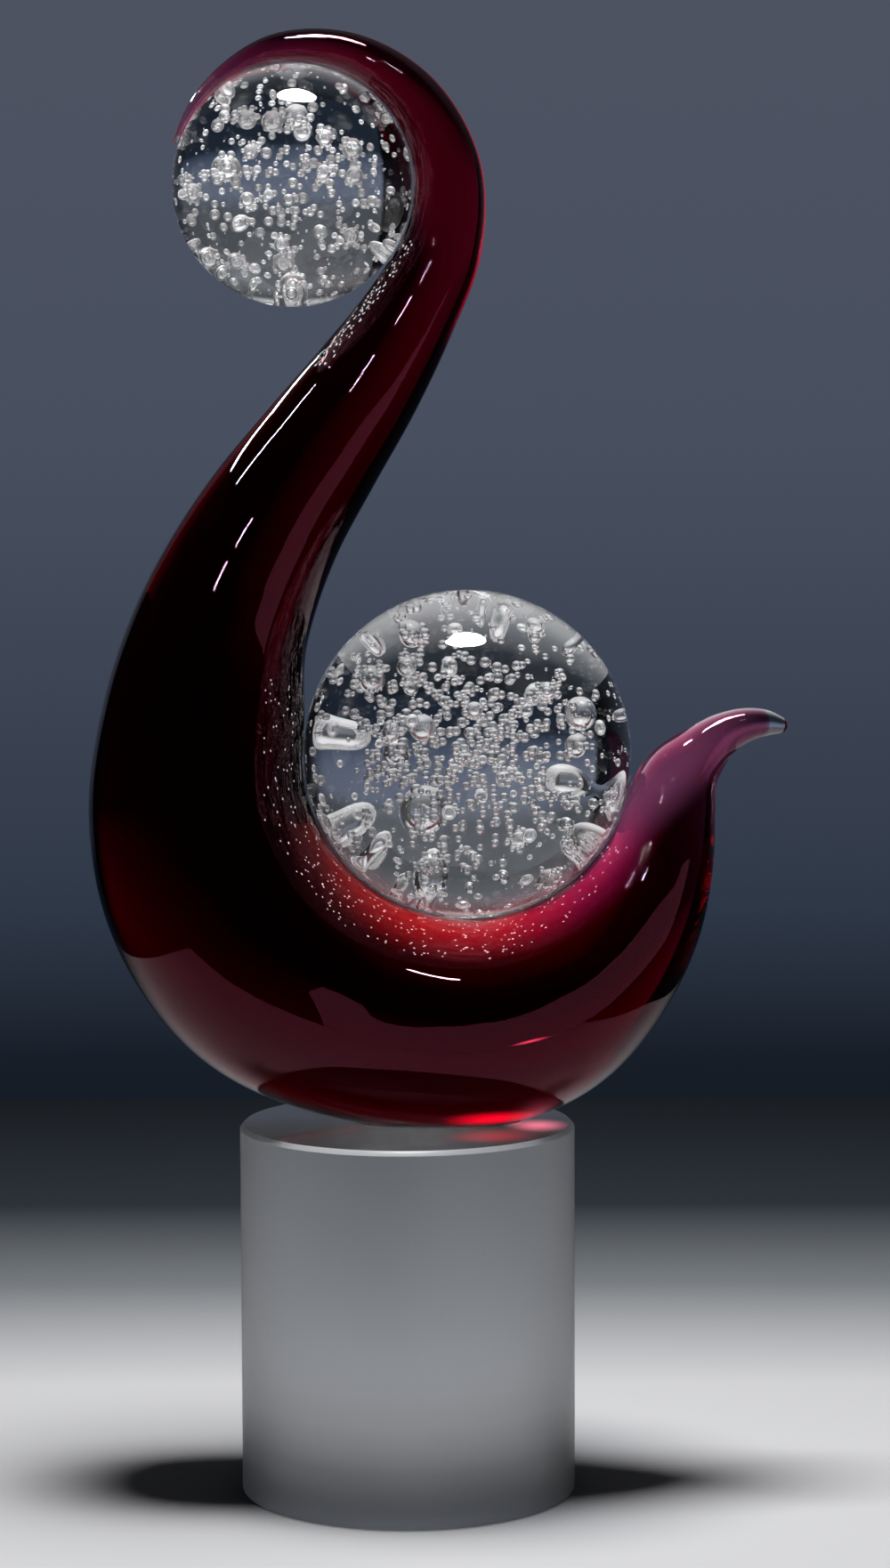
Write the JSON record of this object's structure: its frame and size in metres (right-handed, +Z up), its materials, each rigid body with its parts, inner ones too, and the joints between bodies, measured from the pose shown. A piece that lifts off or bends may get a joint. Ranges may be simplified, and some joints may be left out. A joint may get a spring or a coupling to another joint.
{
  "type": "glass sculpture",
  "caption": "Abstract bird-like glass sculpture: a cased ruby horn bent into an S holds clear bubbled balls in its hook and belly, glued to a frosted glass cylinder.",
  "frame": {"origin": "centre of the cylinder's flat underside, on the cylinder's axis", "axes": "+Z up along the cylinder, +X towards the tail tip, +Y away from the side that the picture shows; the horn bends in the XZ plane"},
  "size_m": [0.2115, 0.1016, 0.4401],
  "materials": {
    "frosted_glass": "sandblasted sides, polished top face and rim chamfer",
    "clear_casing_glass": "fire polished, smooth, colourless",
    "ruby_glass": "transparent ruby, nearly black where thick, violet where thin",
    "clear_ball_glass": "polished, colourless",
    "bubbled_glass": "colourless, crowded with small round air bubbles",
    "clear_adhesive": "cured clear, slightly milky"
  },
  "bodies": {
    "root": {"base_cylinder": "frosted_glass", "foot_adhesive": "clear_adhesive", "clear_casing": "clear_casing_glass", "ruby_core": "ruby_glass", "lower_ball": "clear_ball_glass", "lower_bubble_gather": "bubbled_glass", "upper_ball": "clear_ball_glass", "upper_bubble_gather": "bubbled_glass", "lower_seat_adhesive": "clear_adhesive", "upper_seat_adhesive": "clear_adhesive"}
  },
  "joints": []
}
